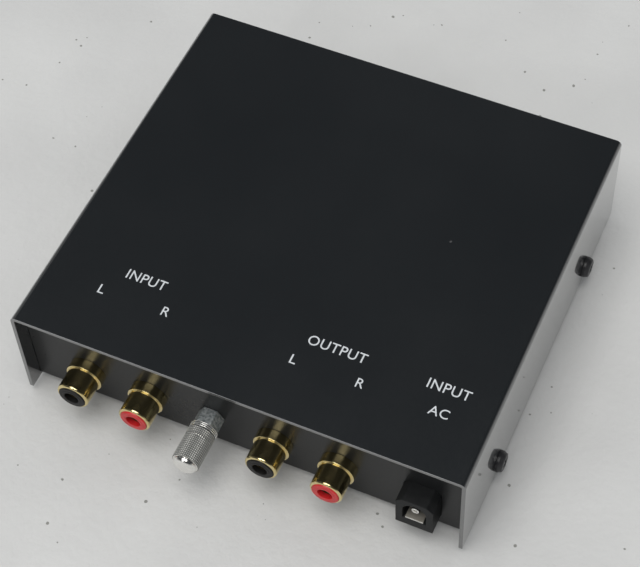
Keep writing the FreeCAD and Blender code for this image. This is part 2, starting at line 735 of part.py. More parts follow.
def make_capacitors():
    small = can_form("coupling_form", "coupling_radius", "coupling_height")
    spots = [(f"{step} * (coupling_radius * 2 + 1) * 2", f"({BOARD_FRONT} + coupling_row)", "board_top", None)
             for step in (-1.5, -0.5, 0.5, 1.5)]
    copies("coupling_capacitors", small, spots)
    large = can_form("reservoir_form", "reservoir_radius", "reservoir_height")
    spots = [(sign + "reservoir_spread", f"({BOARD_FRONT} + reservoir_row)", "board_top", None)
             for sign in ("0 - ", "0 + ")]
    copies("reservoir_capacitors", large, spots)
    film = document.addObject("Part::Box", "film_form")
    bind(film, Length="film_thick", Width="film_length", Height="film_height")
    rounded = document.addObject("Part::Fillet", "film_rounded")
    rounded.Base = film
    document.recompute()
    top = value("film_height")
    rims = [number for number, edge in enumerate(film.Shape.Edges, start=1)
            if edge.BoundBox.ZMin > top - NEAR]
    rounded.Edges = [(number, value("film_round"), value("film_round")) for number in rims]
    film.Visibility = False
    spots = [(f"{step} * socket_pitch - film_thick / 2", f"({BOARD_FRONT} + film_row - film_length / 2)",
              "board_top", None) for step in (-2, -1, 1, 2)]
    copies("film_capacitors", rounded, spots)


def axial_form(name, radius, length):
    """A round body along X on a wire, held up by a square foot at each end of the wire."""
    body = document.addObject("Part::Cylinder", name + "_body")
    bind(body, Radius=radius, Height=length)
    body.Placement = Placement(Vector(), Rotation(Vector(0, 1, 0), 90))
    body.setExpression("Placement.Base.x", formula(f"0 - {length} / 2"))
    body.setExpression("Placement.Base.z", formula(f"{radius} + lead_radius"))
    wire = document.addObject("Part::Cylinder", name + "_wire")
    bind(wire, Radius="lead_radius", Height="resistor_span")
    wire.Placement = Placement(Vector(), Rotation(Vector(0, 1, 0), 90))
    wire.setExpression("Placement.Base.x", formula("0 - resistor_span / 2"))
    wire.setExpression("Placement.Base.z", formula(f"{radius} + lead_radius"))
    starts = ("0 - resistor_span / 2 - lead_foot / 2", "resistor_span / 2 - lead_foot / 2")
    feet = [box_form(name + "_foot", start, "0 - lead_foot / 2", "0",
                     "lead_foot", "lead_foot", f"{radius} + lead_radius + lead_foot / 2") for start in starts]
    return join(name, [body, wire] + feet)


def make_axial_parts():
    resistor = axial_form("resistor_form", "resistor_radius", "resistor_length")
    row = f"{BOARD_FRONT} + resistor_row"
    spots = [(f"{sign}(chip_spread + {column} * (resistor_span + 2))",
              f"({row} - {line} * resistor_pitch / 2)", "board_top", None)
             for sign in ("0 - ", "0 + ") for column in (-0.5, 0.5) for line in (0, 1)]
    copies("resistors", resistor, spots)
    diode = axial_form("diode_form", "diode_radius", "diode_length")
    column = f"({BOARD_WIDTH} / 2 - diode_margin)"
    spots = [(column, f"({BOARD_FRONT} + diode_row - {line} * diode_pitch)", "board_top", None)
             for line in range(4)]
    copies("rectifier_diodes", diode, spots)


def make_regulators():
    leg_up = "regulator_leg"
    block = box_form("regulator_block", "0 - regulator_width / 2", "0 - regulator_thick / 2", leg_up,
                     "regulator_width", "regulator_thick", "regulator_height")
    tab = box_form("regulator_tab", "0 - regulator_width / 2", "regulator_thick / 2 - regulator_tab_thick",
                   f"{leg_up} + regulator_height", "regulator_width", "regulator_tab_thick", "regulator_tab")
    legs = [box_form("regulator_leg", f"{step} * pin_pitch - pin_width / 2", "0 - pin_width / 2", "0",
                     "pin_width", "pin_width", leg_up) for step in (-1, 0, 1)]
    hole = document.addObject("Part::Cylinder", "regulator_hole")
    bind(hole, Radius="regulator_tab_hole", Height="regulator_thick")
    hole.Placement = Placement(Vector(), Z_TO_Y)
    hole.setExpression("Placement.Base.z", formula(f"{leg_up} + regulator_height + regulator_tab / 2"))
    form = cut("regulator_form", join("regulator_solid", [block, tab] + legs), [hole])
    spots = [(f"{side}regulator_spread", f"({BOARD_FRONT} + coupling_row)", "board_top", None)
             for side in ("0 - ", "0 + ")]
    copies("voltage_regulators", form, spots)


def box_form(name, across, back, up, length, width, height):
    """A block of a form, placed from the form's own origin."""
    item = document.addObject("Part::Box", name)
    bind(item, Length=length, Width=width, Height=height)
    item.setExpression("Placement.Base.x", formula(across))
    item.setExpression("Placement.Base.y", formula(back))
    item.setExpression("Placement.Base.z", formula(up))
    return item


# The gain headers, each three pins in a row, with a shunt that bridges two of them
def make_gain_jumpers():
    back = f"({BOARD_FRONT} + header_row)"
    rail = box_form("header_rail", "0 - 1.5 * pin_pitch", "0 - pin_pitch / 2", "0",
                    "3 * pin_pitch", "pin_pitch", "header_height")
    pins = [box_form("header_pin", f"{step} * pin_pitch - pin_width / 2", "0 - pin_width / 2", "0",
                     "pin_width", "pin_width", "header_height + pin_height") for step in (-1, 0, 1)]
    header = join("header_form", [rail] + pins)
    sides = {"left": "(0 - chip_spread)", "right": "chip_spread"}
    copies("gain_headers", header, [(across, back, "board_top", None) for across in sides.values()])
    shunt_width = "(2 * pin_pitch - 2 * shunt_margin)"
    shunt_depth = "(pin_pitch - 2 * shunt_margin)"
    slot = "(pin_width + 2 * shunt_gap)"
    lift = "board_top + header_height"
    for label, across in sides.items():
        block = box(label + "_shunt_block", f"{across} - pin_pitch + shunt_margin - pin_pitch / 2",
                    f"{back} - {shunt_depth} / 2", lift, shunt_width, shunt_depth, "pin_height + shunt_roof")
        slots = [box(label + "_shunt_slot", f"{across} - {step} * pin_pitch - {slot} / 2",
                     f"{back} - {slot} / 2", lift, slot, slot, "pin_height + shunt_gap") for step in (0, 1)]
        piece(cut(label + "_gain_jumper", block, slots), label + "_gain_jumper")


# A lead from the tail of a socket's contact, back and down to the board
def make_lead(label, step):
    body = add_body(label)
    section = add_sketch(body, "XZ_Plane")
    draw_circle(section, "0", "0", "wire_radius")
    path = add_sketch(body, "YZ_Plane")
    run, bend = value("wire_run"), value("wire_bend")
    drop = value("socket_height - board_top")
    path.addGeometry(Part.LineSegment(Vector(0, 0, 0), Vector(run, 0, 0)), False)
    quarter = Part.Circle(Vector(run, -bend, 0), Vector(0, 0, 1), bend)
    path.addGeometry(Part.ArcOfCircle(quarter, 0, 1.5707963), False)
    path.addGeometry(Part.LineSegment(Vector(run + bend, -bend, 0), Vector(run + bend, -drop, 0)), False)
    fix(path, 0, 1, "0", "0")
    fix(path, 0, 2, "wire_run", "0")
    path.addConstraint(Sketcher.Constraint("Coincident", 0, 2, 1, 2))
    fix(path, 1, 3, "wire_run", "0 - wire_bend")
    fix(path, 1, 1, None, "0 - wire_bend")
    path.addConstraint(Sketcher.Constraint("Coincident", 1, 1, 2, 1))
    fix(path, 2, 2, "wire_run + wire_bend", "0 - (socket_height - board_top)")
    pipe = body.newObject("PartDesign::AdditivePipe", label + "_pipe")
    pipe.Profile = section
    pipe.Spine = (path, ["Edge1", "Edge2", "Edge3"])
    document.recompute()
    tail_end = f"{SOCKET_FRONT} + {SOCKET_LENGTH} + insulator_tail + contact_tail"
    piece(place(body, socket_place(step), tail_end, "socket_height"), label)


def check_and_write():
    """Stops at any object that failed, then writes each piece to a file of its own."""
    document.recompute()
    failed = [item.Name for item in document.Objects if {"Invalid", "Error"} & set(item.State)]
    if failed:
        raise RuntimeError("failed: " + ", ".join(failed))
    os.makedirs("parts", exist_ok=True)
    for item in pieces:
        if item.Shape.isNull() or not item.Shape.isValid():
            raise RuntimeError(item.Label + " has no valid shape")
        item.Shape.exportStep(f"parts/{item.Label}.step")
        print(item.Label, len(item.Shape.Solids), round(item.Shape.Volume, 3))


SOCKETS = {"input_left": -2, "input_right": -1, "output_left": 1, "output_right": 2}

make_cover()
make_tray()
screw = make_screw_form()
make_screws_and_feet(screw)
for socket_label, socket_step in SOCKETS.items():
    make_socket(socket_label, socket_step)
    make_lead(socket_label + "_lead", socket_step)
make_terminal()
make_inlet()
make_board()
make_chips()
make_capacitors()
make_axial_parts()
make_regulators()
make_gain_jumpers()
check_and_write()
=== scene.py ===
import json
import math

import bmesh
import bpy
from mathutils import Matrix, Vector


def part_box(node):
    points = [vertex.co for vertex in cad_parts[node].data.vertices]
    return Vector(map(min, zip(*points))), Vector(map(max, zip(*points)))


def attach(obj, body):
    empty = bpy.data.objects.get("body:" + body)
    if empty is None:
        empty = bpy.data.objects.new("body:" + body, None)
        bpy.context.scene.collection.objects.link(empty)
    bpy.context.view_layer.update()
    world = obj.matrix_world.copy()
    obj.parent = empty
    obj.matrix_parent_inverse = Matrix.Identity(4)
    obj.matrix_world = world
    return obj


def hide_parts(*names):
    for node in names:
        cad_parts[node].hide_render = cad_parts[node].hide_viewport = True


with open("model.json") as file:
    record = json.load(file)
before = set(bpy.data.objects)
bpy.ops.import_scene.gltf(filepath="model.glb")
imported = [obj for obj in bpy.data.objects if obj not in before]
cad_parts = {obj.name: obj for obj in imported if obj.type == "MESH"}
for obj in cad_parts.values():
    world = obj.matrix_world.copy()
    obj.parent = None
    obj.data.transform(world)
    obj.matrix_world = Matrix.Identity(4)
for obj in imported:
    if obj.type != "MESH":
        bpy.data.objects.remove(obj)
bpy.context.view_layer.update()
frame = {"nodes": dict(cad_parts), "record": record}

# The pieces' lengths and places are in millimetres, from the middle of the part on its feet, and MM makes
# them metres. SAME_PLACE, the floor and the lamps are in metres.
MM = 0.001
CORNER_STEPS = 6
TURN_STEPS = 112
ON_AXIS = 0.0001
SAME_PLACE = 0.000002
FLAT_ANGLE = math.radians(0.6)
SHARP_ANGLE = math.radians(32)
HALF_TURN = math.pi
FULL_TURN = 2 * math.pi


# Meshes
def new_object(name, data):
    piece = bpy.data.objects.new(name, data)
    bpy.context.scene.collection.objects.link(piece)
    return piece


def from_bmesh(name, mesh, outward=True):
    """An object from a mesh being built, with its faces turned outwards."""
    if outward:
        bmesh.ops.recalc_face_normals(mesh, faces=mesh.faces)
    data = bpy.data.meshes.new(name)
    mesh.to_mesh(data)
    mesh.free()
    return new_object(name, data)


def make_plain(piece):
    """Gives an object the mesh that its modifiers come to, without the modifiers."""
    graph = bpy.context.evaluated_depsgraph_get()
    result = bpy.data.meshes.new_from_object(piece.evaluated_get(graph))
    piece.modifiers.clear()
    former = piece.data
    piece.data = result
    bpy.data.meshes.remove(former)
    return piece


def rounded(corners):
    """An outline whose corners, each (along, out, radius), are rounded off."""
    outline = []
    for index, (along, out, radius) in enumerate(corners):
        corner = Vector((along, out))
        if radius == 0:
            outline.append(corner)
            continue
        back = (Vector(corners[index - 1][:2]) - corner).normalized()
        ahead = (Vector(corners[(index + 1) % len(corners)][:2]) - corner).normalized()
        half = back.angle(ahead) / 2
        centre = corner + (back + ahead).normalized() * radius / math.sin(half)
        start = corner + back * radius / math.tan(half) - centre
        end = corner + ahead * radius / math.tan(half) - centre
        for step in range(CORNER_STEPS + 1):
            outline.append(centre + start.slerp(end, step / CORNER_STEPS).normalized() * radius)
    return outline


def turned(name, corners, centre, axis="y", steps=TURN_STEPS, closed=True):
    """A piece turned about an axis through a centre, from an outline of (along, out, radius)."""
    mesh = bmesh.new()
    rings = []
    for along, out in rounded(corners):
        ring = []
        for step in range(steps if out > ON_AXIS else 1):
            angle = FULL_TURN * step / steps
            across, up = out * math.sin(angle), out * math.cos(angle)
            spot = {"x": (along, across, up), "y": (across, along, up), "z": (across, up, along)}[axis]
            ring.append(mesh.verts.new((Vector(spot) + Vector(centre)) * MM))
        rings.append(ring)
    following_rings = rings[1:] + (rings[:1] if closed else [])
    for first, second in zip(rings, following_rings):
        for step in range(steps if len(first) + len(second) > 2 else 0):
            after = step + 1
            face = [first[step % len(first)], first[after % len(first)],
                    second[after % len(second)], second[step % len(second)]]
            mesh.faces.new(list(dict.fromkeys(face)))
    return from_bmesh(name, mesh)


def softened_copy(node, name, width, steps=2):
    """A copy of a CAD node as one clean surface, with its sharp edges bevelled."""
    mesh = bmesh.new()
    mesh.from_mesh(frame["nodes"][node].data)
    bmesh.ops.remove_doubles(mesh, verts=mesh.verts, dist=SAME_PLACE)
    bmesh.ops.dissolve_limit(mesh, angle_limit=FLAT_ANGLE, verts=mesh.verts, edges=mesh.edges)
    piece = from_bmesh(name, mesh, outward=False)
    bevel = piece.modifiers.new("edges", "BEVEL")
    bevel.width = width * MM
    bevel.segments = steps
    bevel.limit_method = "ANGLE"
    bevel.angle_limit = SHARP_ANGLE
    return make_plain(piece)


def smooth(piece):
    """Shades a piece smoothly between its sharp edges, with flat faces kept flat."""
    piece.data.shade_smooth()
    piece.data.set_sharp_from_angle(angle=SHARP_ANGLE)
    weights = piece.modifiers.new("weights", "WEIGHTED_NORMAL")
    weights.keep_sharp = True
    return make_plain(piece)


def fit_out(piece, finish, body, *nodes, shade=True):
    """Gives a piece its body and, if it has no material yet, its finish, and hides the CAD nodes that it
    stands for.
    """
    if shade:
        smooth(piece)
    if not piece.data.materials:
        piece.data.materials.append(FINISHES[finish])
    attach(piece, body)
    if nodes:
        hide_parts(*nodes)
    return piece


# Nodes
def add(tree, kind, feeds=None, **settings):
    """Adds a node, with its settings, and links or sets its inputs."""
    node = tree.nodes.new(kind)
    for name, setting in settings.items():
        setattr(node, name, setting)
    for name, feed in (feeds or {}).items():
        if isinstance(feed, bpy.types.NodeSocket):
            tree.links.new(feed, node.inputs[name])
        else:
            node.inputs[name].default_value = feed
    return node


def sum_up(tree, operation, first, second, **settings):
    """A Math node of two values, or of one where the second is None."""
    feeds = {0: first} if second is None else {0: first, 1: second}
    return add(tree, "ShaderNodeMath", feeds, operation=operation, **settings).outputs[0]


def sum_up_vectors(tree, operation, first, second):
    """A Vector Math node of two vectors."""
    return add(tree, "ShaderNodeVectorMath", {0: first, 1: second}, operation=operation).outputs["Vector"]


def stretch(tree, value, low, high, start=0.0, end=1.0):
    """Maps a value from one range to another and keeps it there."""
    feeds = {"Value": value, "From Min": low, "From Max": high, "To Min": start, "To Max": end}
    return add(tree, "ShaderNodeMapRange", feeds).outputs["Result"]


def new_group(name, kind, inputs, outputs):
    """An empty node group with the given sockets, and its way in and way out."""
    group = bpy.data.node_groups.new(name, kind)
    for title, socket_kind, default in inputs:
        socket = group.interface.new_socket(title, in_out="INPUT", socket_type=socket_kind)
        if default is not None:
            socket.default_value = default
    for title, socket_kind in outputs:
        group.interface.new_socket(title, in_out="OUTPUT", socket_type=socket_kind)
    return group, group.nodes.new("NodeGroupInput").outputs, group.nodes.new("NodeGroupOutput").inputs


FLOAT, VECTOR = "NodeSocketFloat", "NodeSocketVector"
WHOLE, SHAPE, MATERIAL = "NodeSocketInt", "NodeSocketGeometry", "NodeSocketMaterial"


# Shared effects of the finishes: each puts out a mask or a height that changes over the surface
def make_clouding():
    group, inside, out = new_group("clouding", "ShaderNodeTree", [
        ("Vector", VECTOR, None), ("Scale", FLOAT, 50.0), ("Detail", FLOAT, 5.0)], [("Mask", FLOAT)])
    noise = add(group, "ShaderNodeTexNoise", {
        "Vector": inside["Vector"], "Scale": inside["Scale"], "Detail": inside["Detail"]})
    group.links.new(stretch(group, noise.outputs["Fac"], 0.32, 0.68), out["Mask"])
    return group


def make_hairlines():
    """Fine scratches in two directions, gathered in patches."""
    group, inside, out = new_group("hairlines", "ShaderNodeTree", [
        ("Vector", VECTOR, None), ("Scale", FLOAT, 40.0)], [("Mask", FLOAT)])
    families = []
    for turn, squeeze in ((0.5, 70.0), (-0.85, 90.0)):
        spread = add(group, "ShaderNodeMapping", {
            "Vector": inside["Vector"], "Rotation": (0.2, 0.1, turn), "Scale": (1.0, squeeze, squeeze / 5)})
        streaks = add(group, "ShaderNodeTexNoise", {
            "Vector": spread.outputs["Vector"], "Scale": inside["Scale"], "Detail": 1.0})
        families.append(stretch(group, streaks.outputs["Fac"], 0.69, 0.73))
    patches = add(group, "ShaderNodeTexNoise", {
        "Vector": inside["Vector"], "Scale": inside["Scale"], "Detail": 2.0})
    lines = sum_up(group, "MAXIMUM", *families)
    where = stretch(group, patches.outputs["Fac"], 0.5, 0.62)
    group.links.new(sum_up(group, "MULTIPLY", lines, where), out["Mask"])
    return group


def make_specks():
    """Tiny dots of dust, one in some of the cells."""
    group, inside, out = new_group("specks", "ShaderNodeTree", [
        ("Vector", VECTOR, None), ("Scale", FLOAT, 300.0), ("Share", FLOAT, 0.1), ("Size", FLOAT, 0.2)],
        [("Mask", FLOAT)])
    wobble = 0.6 * MM
    bent = add(group, "ShaderNodeTexNoise", {"Vector": inside["Vector"], "Scale": inside["Scale"]})
    shift = add(group, "ShaderNodeVectorMath", {0: bent.outputs["Color"], 3: wobble}, operation="SCALE")
    moved = sum_up_vectors(group, "ADD", inside["Vector"], shift.outputs["Vector"])
    cells = add(group, "ShaderNodeTexVoronoi", {"Vector": moved, "Scale": inside["Scale"]})
    draw = add(group, "ShaderNodeSeparateColor", {"Color": cells.outputs["Color"]})
    chosen = sum_up(group, "LESS_THAN", draw.outputs["Red"], inside["Share"])
    own_size = sum_up(group, "MULTIPLY", draw.outputs["Green"], inside["Size"])
    dot = sum_up(group, "LESS_THAN", cells.outputs["Distance"], own_size)
    group.links.new(sum_up(group, "MULTIPLY", chosen, dot), out["Mask"])
    return group


CLOUDING = make_clouding()
HAIRLINES = make_hairlines()
SPECKS = make_specks()


def effect(tree, group, vector, **values):
    """The mask of a shared effect with its own values."""
    feeds = {"Vector": vector, **values}
    return add(tree, "ShaderNodeGroup", feeds, node_tree=group).outputs["Mask"]


def mix_colours(tree, mask, first, second):
    """One colour where the mask is 0 and another where it is 1."""
    return add(tree, "ShaderNodeMix", {0: mask, 6: first, 7: second}, data_type="RGBA").outputs[2]


def opaque(colour):
    return (*colour, 1.0)


COAT_IOR = 1.8
DUST_ROUGHNESS = 0.8
HAIR_GAIN, HAIR_LIFT = 1.6, 0.03


def make_finish(name, base, shade, rough, cloud=60.0, grain=2500.0, relief=0.1, depth=0.02, hair=0.0,
                speck=0.0, speck_scale=900.0, speck_tint=(0.4, 0.4, 0.38), metallic=0.0, ior=1.5, coat=0.0):
    """A finish that clouds between two colours and two roughnesses, with grain, hairlines and specks."""
    material = bpy.data.materials.new(name)
    material.use_nodes = True
    tree = material.node_tree
    tree.nodes.clear()
    place = add(tree, "ShaderNodeTexCoord").outputs["Object"]
    clouds = effect(tree, CLOUDING, place, Scale=cloud)
    grains = effect(tree, CLOUDING, place, Scale=grain, Detail=2.0)
    colour = mix_colours(tree, clouds, opaque(base), opaque(shade))
    dull = stretch(tree, sum_up(tree, "ADD", clouds, grains), 0.0, 2.0, *rough)
    height = grains
    if hair:
        lines = sum_up(tree, "MULTIPLY", effect(tree, HAIRLINES, place), hair)
        lighter = tuple(min(1.0, part * HAIR_GAIN + HAIR_LIFT) for part in base)
        colour = mix_colours(tree, lines, colour, opaque(lighter))
        height = sum_up(tree, "SUBTRACT", height, lines)
    if speck:
        dots = effect(tree, SPECKS, place, Scale=speck_scale, Share=speck)
        colour = mix_colours(tree, dots, colour, opaque(speck_tint))
        dull = sum_up(tree, "MAXIMUM", dull, sum_up(tree, "MULTIPLY", dots, DUST_ROUGHNESS))
    bump = add(tree, "ShaderNodeBump", {"Height": height, "Strength": relief, "Distance": depth * MM})
    shader = add(tree, "ShaderNodeBsdfPrincipled", {
        "Base Color": colour, "Roughness": dull, "Metallic": metallic, "IOR": ior,
        "Coat Weight": coat, "Coat IOR": COAT_IOR, "Normal": bump.outputs["Normal"]})
    add(tree, "ShaderNodeOutputMaterial", {"Surface": shader.outputs["BSDF"]})
    return material


# The finishes, by the name of the material slot that each is for
FINISHES = {
    "case_paint": make_finish(
        "case_paint", (0.0088, 0.0105, 0.0119), (0.0106, 0.0123, 0.0137), (0.17, 0.25), cloud=25.0,
        grain=1400.0, relief=0.05, hair=0.02, speck=0.004, speck_scale=500.0,
        speck_tint=(0.04, 0.04, 0.04), ior=1.85, coat=1.0),
    "screw_black": make_finish(
        "screw_black", (0.016, 0.016, 0.018), (0.030, 0.030, 0.032), (0.30, 0.50), cloud=600.0, relief=0.2),
    "foot_rubber": make_finish(
        "foot_rubber", (0.020, 0.020, 0.020), (0.032, 0.031, 0.030), (0.65, 0.85), cloud=200.0, relief=0.5,
        depth=0.05, speck=0.05, speck_scale=1500.0),
    "gold_plate": make_finish(
        "gold_plate", (0.82, 0.69, 0.37), (0.68, 0.56, 0.27), (0.12, 0.22), cloud=260.0, grain=5000.0,
        relief=0.08, depth=0.01, hair=0.15, metallic=1.0),
    "black_insulator": make_finish(
        "black_insulator", (0.010, 0.0095, 0.0092), (0.016, 0.0152, 0.0148), (0.36, 0.48), cloud=500.0,
        relief=0.2, ior=1.26),
    "red_insulator": make_finish(
        "red_insulator", (0.62, 0.022, 0.024), (0.50, 0.014, 0.018), (0.28, 0.42), cloud=500.0, relief=0.2),
    "contact_gold": make_finish(
        "contact_gold", (0.22, 0.16, 0.07), (0.15, 0.11, 0.05), (0.45, 0.60), cloud=500.0, metallic=1.0),
    "plated_brass": make_finish(
        "plated_brass", (0.72, 0.68, 0.56), (0.60, 0.55, 0.42), (0.25, 0.42), cloud=300.0, hair=0.3,
        metallic=1.0),
    "zinc_steel": make_finish(
        "zinc_steel", (0.46, 0.48, 0.48), (0.13, 0.15, 0.155), (0.34, 0.55), cloud=1700.0, relief=0.35,
        depth=0.05, metallic=0.45),
    "nickel_knurl": make_finish(
        "nickel_knurl", (0.90, 0.89, 0.86), (0.80, 0.79, 0.76), (0.14, 0.24), cloud=700.0, relief=0.1,
        metallic=1.0),
    "nickel": make_finish(
        "nickel", (0.88, 0.87, 0.84), (0.76, 0.75, 0.72), (0.20, 0.30), cloud=500.0, relief=0.08, hair=0.2,
        metallic=1.0),
    "inlet_plastic": make_finish(
        "inlet_plastic", (0.0125, 0.013, 0.0135), (0.018, 0.0185, 0.019), (0.38, 0.52), cloud=400.0,
        grain=6000.0, relief=0.3, speck=0.02, speck_scale=1500.0, ior=1.22),
    "board_laminate": make_finish(
        "board_laminate", (0.012, 0.13, 0.055), (0.020, 0.18, 0.075), (0.25, 0.40), cloud=220.0,
        grain=1800.0, relief=0.2, coat=0.3),
    "standoff_brass": make_finish(
        "standoff_brass", (0.78, 0.58, 0.26), (0.62, 0.45, 0.20), (0.25, 0.42), cloud=300.0, metallic=1.0),
    "chip_plastic": make_finish(
        "chip_plastic", (0.022, 0.022, 0.022), (0.034, 0.034, 0.034), (0.45, 0.60), cloud=700.0, relief=0.4),
    "capacitor_sleeve": make_finish(
        "capacitor_sleeve", (0.016, 0.030, 0.110), (0.022, 0.042, 0.140), (0.25, 0.36), cloud=150.0),
    "film_coating": make_finish(
        "film_coating", (0.42, 0.065, 0.025), (0.34, 0.045, 0.020), (0.22, 0.38), cloud=260.0, relief=0.4,
        depth=0.05),
    "resistor_coating": make_finish(
        "resistor_coating", (0.18, 0.40, 0.54), (0.14, 0.33, 0.47), (0.28, 0.42), cloud=400.0),
    "diode_plastic": make_finish(
        "diode_plastic", (0.020, 0.020, 0.021), (0.032, 0.032, 0.033), (0.32, 0.48), cloud=500.0),
    "regulator_plastic": make_finish(
        "regulator_plastic", (0.030, 0.030, 0.031), (0.045, 0.045, 0.046), (0.42, 0.60), cloud=500.0,
        relief=0.4),
    "header_plastic": make_finish(
        "header_plastic", (0.022, 0.022, 0.023), (0.034, 0.034, 0.035), (0.40, 0.55), cloud=500.0,
        relief=0.3),
    "jumper_plastic": make_finish(
        "jumper_plastic", (0.018, 0.075, 0.42), (0.014, 0.055, 0.34), (0.28, 0.42), cloud=500.0),
    "wire_sleeve": make_finish(
        "wire_sleeve", (0.60, 0.60, 0.57), (0.52, 0.52, 0.49), (0.38, 0.52), cloud=400.0),
}
# Light grey for the cover's cut edges: partly the thinner paint there, partly a painted highlight where the
# bevel faces up.
CUT_EDGE_AND_HIGHLIGHT = make_finish(
    "cut_edge_thin_paint_and_highlight", (0.30, 0.302, 0.303), (0.38, 0.381, 0.381), (0.30, 0.48), cloud=260.0, relief=0.2)
PANEL_PAINT = make_finish(
    "panel_paint", (0.0125, 0.0130, 0.0135), (0.0150, 0.0155, 0.0160), (0.26, 0.36), cloud=40.0, grain=1400.0,
    relief=0.05, hair=0.02, ior=1.32)
# A darker, duller copy of the nickel for the inlet's spring leaf: painted shade inside the inlet.
SHADED_LEAF_NICKEL = make_finish(
    "leaf_nickel_painted_shade", (0.31, 0.29, 0.25), (0.24, 0.22, 0.19), (0.38, 0.50), cloud=400.0, relief=0.2, hair=0.3,
    metallic=0.35)
LETTER_INK = make_finish(
    "letter_ink", (0.64, 0.66, 0.68), (0.56, 0.58, 0.60), (0.40, 0.55), cloud=900.0, grain=6000.0, relief=0.2,
    speck=0.03, speck_scale=2500.0, speck_tint=(0.25, 0.26, 0.27))


def paint_valley_shade(material, node, grip, valley, peak, tone, valley_shade, least_rough, metal):
    """Gives the outer skin of a turned piece a tone of its own, and painted shade that darkens it towards its
    valleys.
    """
    tree = material.node_tree
    shader = next(item for item in tree.nodes if item.type == "BSDF_PRINCIPLED")
    colour, dull = (shader.inputs[name].links[0].from_socket for name in ("Base Color", "Roughness"))
    middle = sum(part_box(node), Vector()) / 2
    place = add(tree, "ShaderNodeTexCoord").outputs["Object"]
    aside = sum_up_vectors(tree, "SUBTRACT", place, middle)
    flat = sum_up_vectors(tree, "MULTIPLY", aside, (1.0, 0.0, 1.0))
    radius = add(tree, "ShaderNodeVectorMath", {0: flat}, operation="LENGTH").outputs["Value"]
    on_grip = sum_up(tree, "GREATER_THAN", radius, grip * MM)
    # Painted shade: between the peak and valley radii the skin darkens to the valley shade colour.
    low = sum_up(tree, "MULTIPLY", on_grip, stretch(tree, radius, valley * MM, peak * MM, 1.0, 0.0))
    toned = mix_colours(tree, on_grip, colour, opaque(tone))
    least = sum_up(tree, "MULTIPLY", on_grip, least_rough)
    metals = stretch(tree, on_grip, 0.0, 1.0, 1.0, metal)
    tree.links.new(mix_colours(tree, low, toned, opaque(valley_shade)), shader.inputs["Base Color"])
    tree.links.new(sum_up(tree, "MAXIMUM", dull, least), shader.inputs["Roughness"])
    tree.links.new(metals, shader.inputs["Metallic"])
    return material


# The washers' rounded rims get painted shade in the narrow gaps where they meet.
WASHER_METAL = paint_valley_shade(
    make_finish(
        "washer_metal", (0.88, 0.87, 0.84), (0.76, 0.75, 0.72), (0.20, 0.30), cloud=500.0, metallic=1.0),
    "ground_washers", grip=3.0, valley=3.40, peak=3.46, tone=(0.86, 0.86, 0.83), valley_shade=(0.05, 0.05, 0.05),
    least_rough=0.26, metal=0.75)
# The knurl gets painted shade in the valleys between its teeth.
paint_valley_shade(
    FINISHES["nickel_knurl"], "ground_thumb_nut", grip=3.25, valley=3.39, peak=3.47, tone=(0.54, 0.54, 0.52),
    valley_shade=(0.15, 0.15, 0.14), least_rough=0.40, metal=0.35)


# The folded cover, whose cut edges at the front and back are light grey on their upward-facing bevels:
# thinner paint there, and a painted highlight
def make_cover():
    cover = softened_copy("top_cover", "folded_cover", 0.16, steps=3)
    low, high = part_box("top_cover")
    cover.data.materials.append(FINISHES["case_paint"])
    cover.data.materials.append(CUT_EDGE_AND_HIGHLIGHT)
    # Only the bevel faces that tilt upward at the front and back ends get it, as a painted highlight.
    near, tilt = 0.3 * MM, 0.25
    for face in cover.data.polygons:
        at_end = min(face.center.y - low.y, high.y - face.center.y) < near
        if at_end and face.normal.z > tilt and abs(face.normal.y) > tilt:
            face.material_index = 1
    fit_out(cover, "case_paint", "root", "top_cover")


def make_tray():
    tray = softened_copy("chassis_tray", "folded_tray", 0.12)
    tray.data.materials.append(PANEL_PAINT)
    fit_out(tray, "case_paint", "root", "chassis_tray")


def give_out(tree, shape, inside, socket):
    """Ends a tree: makes its copies real, gives them the finish and puts them out."""
    solid = add(tree, "GeometryNodeRealizeInstances", {"Geometry": shape})
    done = add(tree, "GeometryNodeSetMaterial", {
        "Geometry": solid.outputs["Geometry"], "Material": inside["Finish"]})
    tree.links.new(done.outputs["Geometry"], socket)
    return tree


# A tree that sets a copy of a form at each corner of a rectangle, turned to face out on the left
def make_corner_tree():
    tree, inside, out = new_group("copies_at_corners", "GeometryNodeTree", [
        ("Form", SHAPE, None), ("Width", FLOAT, 0.1), ("Depth", FLOAT, 0.1), ("Centre", VECTOR, None),
        ("Left Turn", FLOAT, 0.0), ("Finish", MATERIAL, None)], [("Pieces", SHAPE)])
    grid = add(tree, "GeometryNodeMeshGrid", {
        "Size X": inside["Width"], "Size Y": inside["Depth"], "Vertices X": 2, "Vertices Y": 2})
    spots = add(tree, "GeometryNodeTransform", {
        "Geometry": grid.outputs["Mesh"], "Translation": inside["Centre"]})
    where = add(tree, "ShaderNodeSeparateXYZ", {0: add(tree, "GeometryNodeInputPosition").outputs[0]})
    turn = sum_up(tree, "MULTIPLY", sum_up(tree, "LESS_THAN", where.outputs["X"], 0.0), inside["Left Turn"])
    facing = add(tree, "ShaderNodeCombineXYZ", {"Z": turn})
    placed = add(tree, "GeometryNodeInstanceOnPoints", {
        "Points": spots.outputs["Geometry"], "Instance": inside["Form"],
        "Rotation": facing.outputs["Vector"]})
    return give_out(tree, placed.outputs["Instances"], inside, out["Pieces"])


def grow(piece, tree, **values):
    """Runs a tree on a piece with values for its named inputs, and keeps the result as a plain mesh."""
    modifier = piece.modifiers.new(tree.name, "NODES")
    modifier.node_group = tree
    sockets = {item.name: item.identifier for item in tree.interface.items_tree if item.in_out == "INPUT"}
    for name, value in values.items():
        modifier[sockets[name.replace("_", " ")]] = value
    return make_plain(piece)


